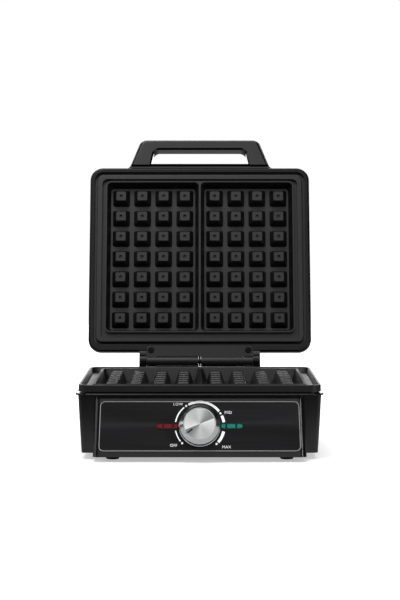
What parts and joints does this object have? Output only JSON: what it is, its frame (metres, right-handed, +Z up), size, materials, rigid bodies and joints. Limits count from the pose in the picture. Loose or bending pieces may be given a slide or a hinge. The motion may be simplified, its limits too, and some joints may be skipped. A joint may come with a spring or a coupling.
{
  "type": "waffle maker",
  "caption": "Double waffle maker on a sloped-front base: hinged lid with loop handle, two rectangular peg moulds per plate, turning heat knob.",
  "frame": {"origin": "on the surface it stands on, under the centre of the lower plate", "axes": "+X to the user's right as they face the knob, +Y to the rear where the hinge is, +Z up"},
  "size_m": [0.256, 0.3452, 0.3386],
  "materials": {
    "gloss_black": "glossy moulded plastic",
    "satin_black": "satin moulded plastic",
    "nonstick": "non-stick coating on cast aluminium",
    "brushed_black_steel": "horizontally brushed, black",
    "red_lens": "translucent red",
    "green_lens": "translucent green",
    "lamp_glass": "clear",
    "bright_metal": "polished",
    "spun_aluminium": "spun in circles",
    "steel": "plain",
    "black_steel": "black oxide",
    "ceramic": "white steatite",
    "rubber": "matte",
    "element_steel": "oxidised sheath",
    "sheet_aluminium": "mill",
    "brass": "plain",
    "wire_sleeve": "silicone sleeve",
    "hinge_metal": "black, satin"
  },
  "bodies": {
    "base": {"base_housing": "gloss_black", "top_frame": "gloss_black", "side_panel_left": "gloss_black", "side_panel_right": "gloss_black", "bottom_cover": "satin_black", "lower_plate": "nonstick", "lower_pegs": "nonstick", "fascia": "brushed_black_steel", "lamp_lens_red": "red_lens", "lamp_lens_green": "green_lens", "neon_lamp_left": "lamp_glass", "neon_lamp_right": "lamp_glass", "thermostat": "ceramic", "thermostat_bracket": "steel", "foot_front_left": "rubber", "foot_front_right": "rubber", "foot_rear_left": "rubber", "foot_rear_right": "rubber", "lower_element": "element_steel", "lower_reflector": "sheet_aluminium", "cover_screws": "steel", "terminal_block": "ceramic", "terminal_screws": "brass", "cord_gland": "satin_black", "thermal_fuse": "sheet_aluminium", "wire_supply": "wire_sleeve", "wire_cutout": "wire_sleeve", "wire_element": "wire_sleeve", "wire_return": "wire_sleeve", "lower_hinge": "hinge_metal", "lower_hinge_screws": "black_steel", "hinge_pin": "black_steel", "hinge_spacer": "satin_black"},
    "knob": {"knob_body": "bright_metal", "knob_cap": "spun_aluminium", "thermostat_shaft": "steel"},
    "lid": {"upper_hinge": "hinge_metal", "upper_hinge_screws": "black_steel", "lid_shell": "satin_black", "upper_plate": "nonstick", "upper_pegs": "nonstick", "upper_plate_studs": "steel", "upper_element": "element_steel", "upper_reflector": "sheet_aluminium", "handle_lower": "gloss_black", "handle_upper": "gloss_black"}
  },
  "joints": [
    {"name": "lid_hinge", "type": "hinge", "parent": "base", "child": "lid", "pos_m": [0, 0.1209, 0.0839], "axis": [1, 0, 0], "range_deg": [0, 106.8]},
    {"name": "thermostat_dial", "type": "hinge", "parent": "base", "child": "knob", "pos_m": [0, -0.10789, 0.03655], "axis": [0, 0.9703, -0.2419], "range_deg": [-8.2, 262.7]}
  ]
}
